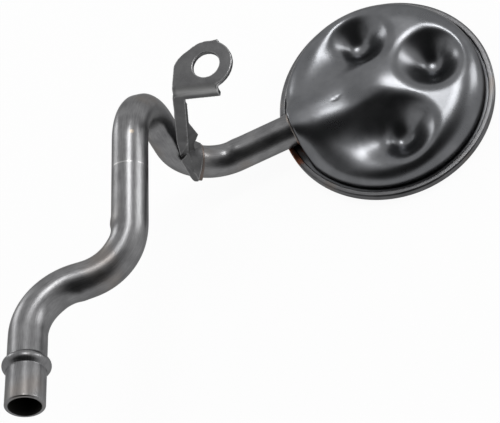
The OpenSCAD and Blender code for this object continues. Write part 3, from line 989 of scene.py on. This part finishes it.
def report_finish(made):
    print(made.name, "has", len(made.node_tree.nodes), "nodes")


print("a surface can take", sorted(SOCKETS))

# %% [markdown]
# ## Drawn steel for the tube
# The tube was drawn through a die, so it has fine lines along its length, and handling
# has left cloudy patches. The lines are noise that is stretched along the tube: the
# mesh knows how far along and around each point is. A bright ring and a rubbed spot are
# where the tube was held. The finish is satin, never mirror.

# %% Finish of the tube
TUBE_DARK = (0.125, 0.125, 0.128)
TUBE_LIGHT = (0.215, 0.215, 0.218)
TUBE_WARM = (0.20, 0.175, 0.155)
RING_BRIGHT = (0.42, 0.42, 0.41)
RUBBED = (0.40, 0.34, 0.27)
RING_FROM, RING_TO, RING_SOFT = 159.7, 160.7, 0.4
RUBBED_SPOT = (-40.7, -13.3, -2.3)
LINE_AROUND, LINE_ALONG = 0.008, 0.00006

tube_steel, start = finish("drawn_tube_steel")
spot = place(start)
along, around = stored(start, "along"), stored(start, "around")
ring_x = start.node("ShaderNodeMath", {"operation": "COSINE"}, {0: around})
ring_y = start.node("ShaderNodeMath", {"operation": "SINE"}, {0: around})
drawn = together(start, ring_x * LINE_AROUND, ring_y * LINE_AROUND, along * LINE_ALONG)
lines = noise(start, drawn, 0.28, 2.0)
clouds = noise(start, spot, 9, 4.0)
grain = noise(start, spot, 0.35, 2.0)
warm = noise(start, spot, 26, 2.0).range(0.52, 0.7)
base = (0.55 * clouds + 0.45 * lines).range(0.3, 0.7).mix(TUBE_DARK, TUBE_LIGHT)
base = (warm * 0.5).mix(base, TUBE_WARM)
ring = along.range(RING_FROM, RING_FROM + RING_SOFT) * along.range(RING_TO, RING_TO - RING_SOFT)
ring = ring * noise(start, spot, 3.0).range(0.4, 0.55)
base = (ring * 0.6).mix(base, RING_BRIGHT)
mark = near(start, spot, RUBBED_SPOT, 0.5, 1.3)
base = (mark * 0.7).mix(base, RUBBED)
rough = 0.25 + 0.10 * clouds + 0.06 * lines
height = 0.6 * lines + 0.4 * grain
surface(start, base=base, metal=1.0, rough=rough, normal=bump(start, height, 0.35, 0.02))
report_finish(tube_steel)

# %% Finish of the bore
# A near-black, dull finish for the inside of the tube.
BORE_BLACK = (0.006, 0.006, 0.006)
BORE_NEAR_BLACK = (0.02, 0.018, 0.016)

bore_dark, start = finish("near_black_bore")
bore_mottle = noise(start, place(start), 2.5, 3.0)
base = bore_mottle.mix(BORE_BLACK, BORE_NEAR_BLACK)
surface(start, base=base, metal=0.0, rough=0.55 + 0.2 * bore_mottle, level=0.2)

tube.data.materials.append(tube_steel)
tube.data.materials.append(bore_dark)
bore_first = (len(outer_stops) + 2) * SIDES
bore_last = (len(tube_rings) - 1) * SIDES
in_bore = [int(bore_first <= face < bore_last) for face in range(len(tube.data.polygons))]
tube.data.polygons.foreach_set("material_index", in_bore)
print("faces in the bore:", sum(in_bore))

# %% [markdown]
# ## Pressed steel for the cover
# Deep drawing leaves sheet with a fine grain, a few dark specks and a soft shine. The
# copper has run a little onto the sheet beside the tube, so the finish turns reddish
# close to the joint.

# %% Finish of the cover
COVER_DARK = (0.118, 0.121, 0.127)
COVER_LIGHT = (0.155, 0.158, 0.165)
SPECK = (0.085, 0.083, 0.08)
COPPER = (0.16, 0.06, 0.035)
joint = STRAINER + [-SPOUT_END, -7.5, -7.0]

cover_steel, start = finish("pressed_cover_steel")
spot = place(start)
clouds = noise(start, spot, 14, 3.0)
grain = noise(start, spot, 0.4, 2.0)
specks = noise(start, spot, 1.6, 2.0).range(0.62, 0.75)
base = clouds.range(0.3, 0.7).mix(COVER_DARK, COVER_LIGHT)
base = (specks * 0.25).mix(base, SPECK)
copper_near = near(start, spot, joint, 1.5, 5.0) * noise(start, spot, 2.0).range(0.35, 0.6)
base = copper_near.mix(base, COPPER)
rough = 0.23 + 0.07 * clouds + 0.05 * grain
surface(start, base=base, metal=1.0, rough=rough, normal=bump(start, grain, 0.25, 0.015))
cover.data.materials.append(cover_steel)
report_finish(cover_steel)

# %% [markdown]
# ## Rolled steel for the rim
# The rim was folded with rollers that ran around it, and they left fine grooves all the
# way round. The mesh keeps the distance across the section, so noise along that number
# alone makes lines that follow the rim. Copper has run over the rim below the tube.

# %% Finish of the rim
RIM_DARK = (0.075, 0.075, 0.078)
RIM_LIGHT = (0.14, 0.14, 0.143)
RIM_WARM = (0.13, 0.11, 0.095)
GROOVE_ACROSS, GROOVE_AROUND = 0.001, 0.0004
run_down = STRAINER + [-51.5, -9.5, -9.0]

rim_steel, start = finish("rolled_rim_steel")
spot = place(start)
across, around = stored(start, "across"), stored(start, "around")
rolled = together(start, across * GROOVE_ACROSS, around * GROOVE_AROUND, 0.0)
grooves = noise(start, rolled, 0.25, 2.0)
clouds = noise(start, spot, 8, 3.0)
warm = noise(start, spot, 15, 2.0).range(0.5, 0.7)
base = (0.5 * grooves + 0.5 * clouds).range(0.3, 0.7).mix(RIM_DARK, RIM_LIGHT)
base = (warm * 0.5).mix(base, RIM_WARM)
flow = near(start, spot, run_down, 4.0, 8.0) * noise(start, spot, 3.0).range(0.3, 0.5)
base = flow.mix(base, COPPER)
rough = 0.30 + 0.12 * clouds
surface(start, base=base, metal=1.0, rough=rough, normal=bump(start, grooves, 0.5, 0.04))
rim.data.materials.append(rim_steel)
report_finish(rim_steel)

# %% [markdown]
# ## Tumbled steel for the bracket
# The bracket is duller than the tube, with a grainy skin from tumbling and bright worn
# edges. The sharpness that was kept on the mesh turns the edges lighter and smoother, and
# a highlight painted along the fold makes it lighter still.

# %% Finish of the bracket
BRACKET_DARK = (0.088, 0.088, 0.090)
BRACKET_LIGHT = (0.132, 0.132, 0.134)
BRACKET_WORN = (0.28, 0.28, 0.282)
# Colour of the highlight painted on the fold.
FOLD_HIGHLIGHT_COLOUR = (0.55, 0.55, 0.55)

bracket_steel, start = finish("tumbled_bracket_steel")
spot = place(start)
worn = stored(start, "edge").range(0.15, 0.7)
clouds = noise(start, spot, 7, 4.0)
grain = noise(start, spot, 0.5, 3.0)
painted_fold_highlight = stored(start, "painted_fold_highlight")
base = (0.6 * clouds + 0.4 * grain).range(0.3, 0.7).mix(BRACKET_DARK, BRACKET_LIGHT)
base = (worn * 0.6).mix(base, BRACKET_WORN)
# The fold gets a painted highlight.
base = (painted_fold_highlight * 0.85).mix(base, FOLD_HIGHLIGHT_COLOUR)
rough = 0.42 + 0.10 * grain - 0.14 * worn
surface(start, base=base, metal=1.0, rough=rough, normal=bump(start, grain, 0.4, 0.03))
bracket.data.materials.append(bracket_steel)
report_finish(bracket_steel)

# %% [markdown]
# ## Wire and copper
# The wires are bright and smooth, with some dark film between them. The copper is dull
# where it has oxidised, with a slightly wrinkled skin. It has pooled below the tube. Above
# it, and along the bracket's saddle, it has run so thin that it only tints the steel.

# %% Finish of the wire
WIRE_DARK = (0.14, 0.14, 0.14)
WIRE_BRIGHT = (0.28, 0.28, 0.285)

wire_steel, start = finish("woven_wire_steel")
film = noise(start, place(start), 5, 3.0)
surface(start, base=film.mix(WIRE_DARK, WIRE_BRIGHT), metal=1.0, rough=0.28 + 0.15 * film)
gauze.data.materials.append(wire_steel)
report_finish(wire_steel)

# %% Finishes of the copper
COPPER_DULL = (0.085, 0.036, 0.022)
COPPER_FRESH = (0.17, 0.075, 0.045)
COPPER_TINGE = (0.19, 0.172, 0.16)
SADDLE_GREY = (0.11, 0.10, 0.095)
SADDLE_TINGE = (0.15, 0.115, 0.10)

copper, start = finish("furnace_copper")
spot = place(start)
tint = noise(start, spot, 2.5, 4.0)
wrinkle = noise(start, spot, 0.6, 3.0)
base = tint.range(0.35, 0.65).mix(COPPER_DULL, COPPER_FRESH)
pooled = near(start, spot, joint, 5.0, 11.0)
base = pooled.mix(COPPER_TINGE, base)
rough = 0.30 + 0.25 * tint
surface(start, base=base, metal=1.0, rough=rough, normal=bump(start, wrinkle, 0.5, 0.06))
fillet.data.materials.append(copper)

thin_copper, start = finish("thin_copper")
tint = noise(start, place(start), 2.0, 3.0)
base = tint.mix(SADDLE_GREY, SADDLE_TINGE)
surface(start, base=base, metal=1.0, rough=0.35 + 0.15 * tint)
saddle_braze.data.materials.append(thin_copper)
print("finishes:", [m.name for m in bpy.data.materials if m.users])

# %% [markdown]
# ## The studio
# Metal shows its surroundings, so the studio is part of the finish. A pale floor lies
# below the strainer, and soft lamps stand at the back left, at the right and above. The
# room above and behind the camera is dark, which gives the dark flanks that make the
# steel look like steel. The floor shows white to the camera and to reflections, and keeps
# a soft shadow.

# %% Floor
FLOOR_LEVEL = (STRAINER[2] + RIM_BOTTOM) * MM - 0.0005
FLOOR_RADIUS = 1.8
FLOOR_SIDES = 96
FLOOR_SHOWN = 0.95
PAPER_GREY = (0.82, 0.82, 0.82)
PAPER_WHITE = (0.86, 0.86, 0.86)

floor_turns = np.linspace(0, 2 * math.pi, FLOOR_SIDES, endpoint=False)
floor_ring = [(FLOOR_RADIUS * math.cos(a), FLOOR_RADIUS * math.sin(a), FLOOR_LEVEL) for a in floor_turns]
floor_mesh = bpy.data.meshes.new("floor")
floor_mesh.from_pydata(floor_ring, [], [tuple(range(FLOOR_SIDES))])
floor = bpy.data.objects.new("floor", floor_mesh)
bpy.context.scene.collection.objects.link(floor)
floor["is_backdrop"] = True


def any_ray(start, *kinds):
    """1 for rays of these kinds, and 0 for the rest."""
    path = start.node("ShaderNodeLightPath").socket.node
    found = Field(start.tree, path.outputs[kinds[0]])
    for kind in kinds[1:]:
        found = start.sum("MAXIMUM", found, Field(start.tree, path.outputs[kind]))
    return found


paper, start = finish("white_paper")
fibre = noise(start, place(start), 30, 2.0)
matte = start.node("ShaderNodeBsdfDiffuse", {}, {"Color": fibre.mix(PAPER_GREY, PAPER_WHITE)})
glow = start.node("ShaderNodeEmission", {}, {"Color": (1, 1, 1, 1), "Strength": 1.0})
seen = any_ray(start, "Is Camera Ray", "Is Glossy Ray", "Is Transmission Ray")
shown = start.node("ShaderNodeMixShader", {}, {0: seen * FLOOR_SHOWN, 1: matte, 2: glow})
start.node("ShaderNodeOutputMaterial", {}, {"Surface": shown})
floor_mesh.materials.append(paper)
print("floor at", round(1000 * FLOOR_LEVEL, 2), "mm")

# %% Lamps
LAMP_AIM = Vector((0.01, -0.03, -0.05))
LAMP_DISTANCE = 0.9


def lamp(name, direction, width, height, power):
    """A soft box in a direction from the part, facing it."""
    light = bpy.data.lights.new(name, "AREA")
    light.shape, light.size, light.size_y, light.energy = "RECTANGLE", width, height, power
    box = bpy.data.objects.new(name, light)
    bpy.context.scene.collection.objects.link(box)
    away = Vector(direction).normalized()
    box.location = LAMP_AIM + away * LAMP_DISTANCE
    box.rotation_euler = away.to_track_quat("Z", "Y").to_euler()
    print(name, "stands at", [round(c, 2) for c in box.location])


lamp("left_box", (-0.62, 0.72, 0.14), 0.25, 0.50, 1.6)
lamp("right_box", (0.96, 0.16, 0.20), 0.22, 0.50, 2.0)
lamp("top_box", (0.31, 0.38, 0.87), 0.26, 0.20, 2.3)

# %% World
DARK_ROOM = (0.0, -0.64, 0.77)
DARK_SHARE = 0.96
ZENITH = 0.85

world = bpy.data.worlds.new("studio")
bpy.context.scene.world = world
world.use_nodes = True
world.node_tree.nodes.clear()
start = Field(world.node_tree)
heading = start.node("ShaderNodeTexCoord", {}, {}, "Generated")


def towards(direction):
    """1 in a direction, 0 across it and -1 away from it."""
    ends = {0: heading, 1: tuple(Vector(direction).normalized())}
    return start.node("ShaderNodeVectorMath", {"operation": "DOT_PRODUCT"}, ends, "Value")


horizon = towards((0, 0, 1)).range(0.0, 0.9, 1.0, ZENITH)
dark = towards(DARK_ROOM).range(0.5, 0.85, 0.0, DARK_SHARE)
room = horizon * (1 - dark)
level = start.sum("MAXIMUM", any_ray(start, "Is Camera Ray", "Is Transmission Ray"), room)
sky = start.node("ShaderNodeBackground", {}, {"Color": level, "Strength": 1.0})
start.node("ShaderNodeOutputWorld", {}, {"Surface": sky})
print("world has", len(world.node_tree.nodes), "nodes")

# %% [markdown]
# ## Sizes, and the end
# The dressed part has to be as large as the solids, so the last cell prints how far
# the box of the dressed part lies past the box of the solids, corner by corner.

# %% Compare the boxes and finish
visual_box = [list(corner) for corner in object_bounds()]
for name, visual, solid in zip(("low", "high"), visual_box, cad_box):
    past = [round(1000 * (v - s), 2) for v, s in zip(visual, solid)]
    print(name, "corner, visual minus solid in mm:", past)
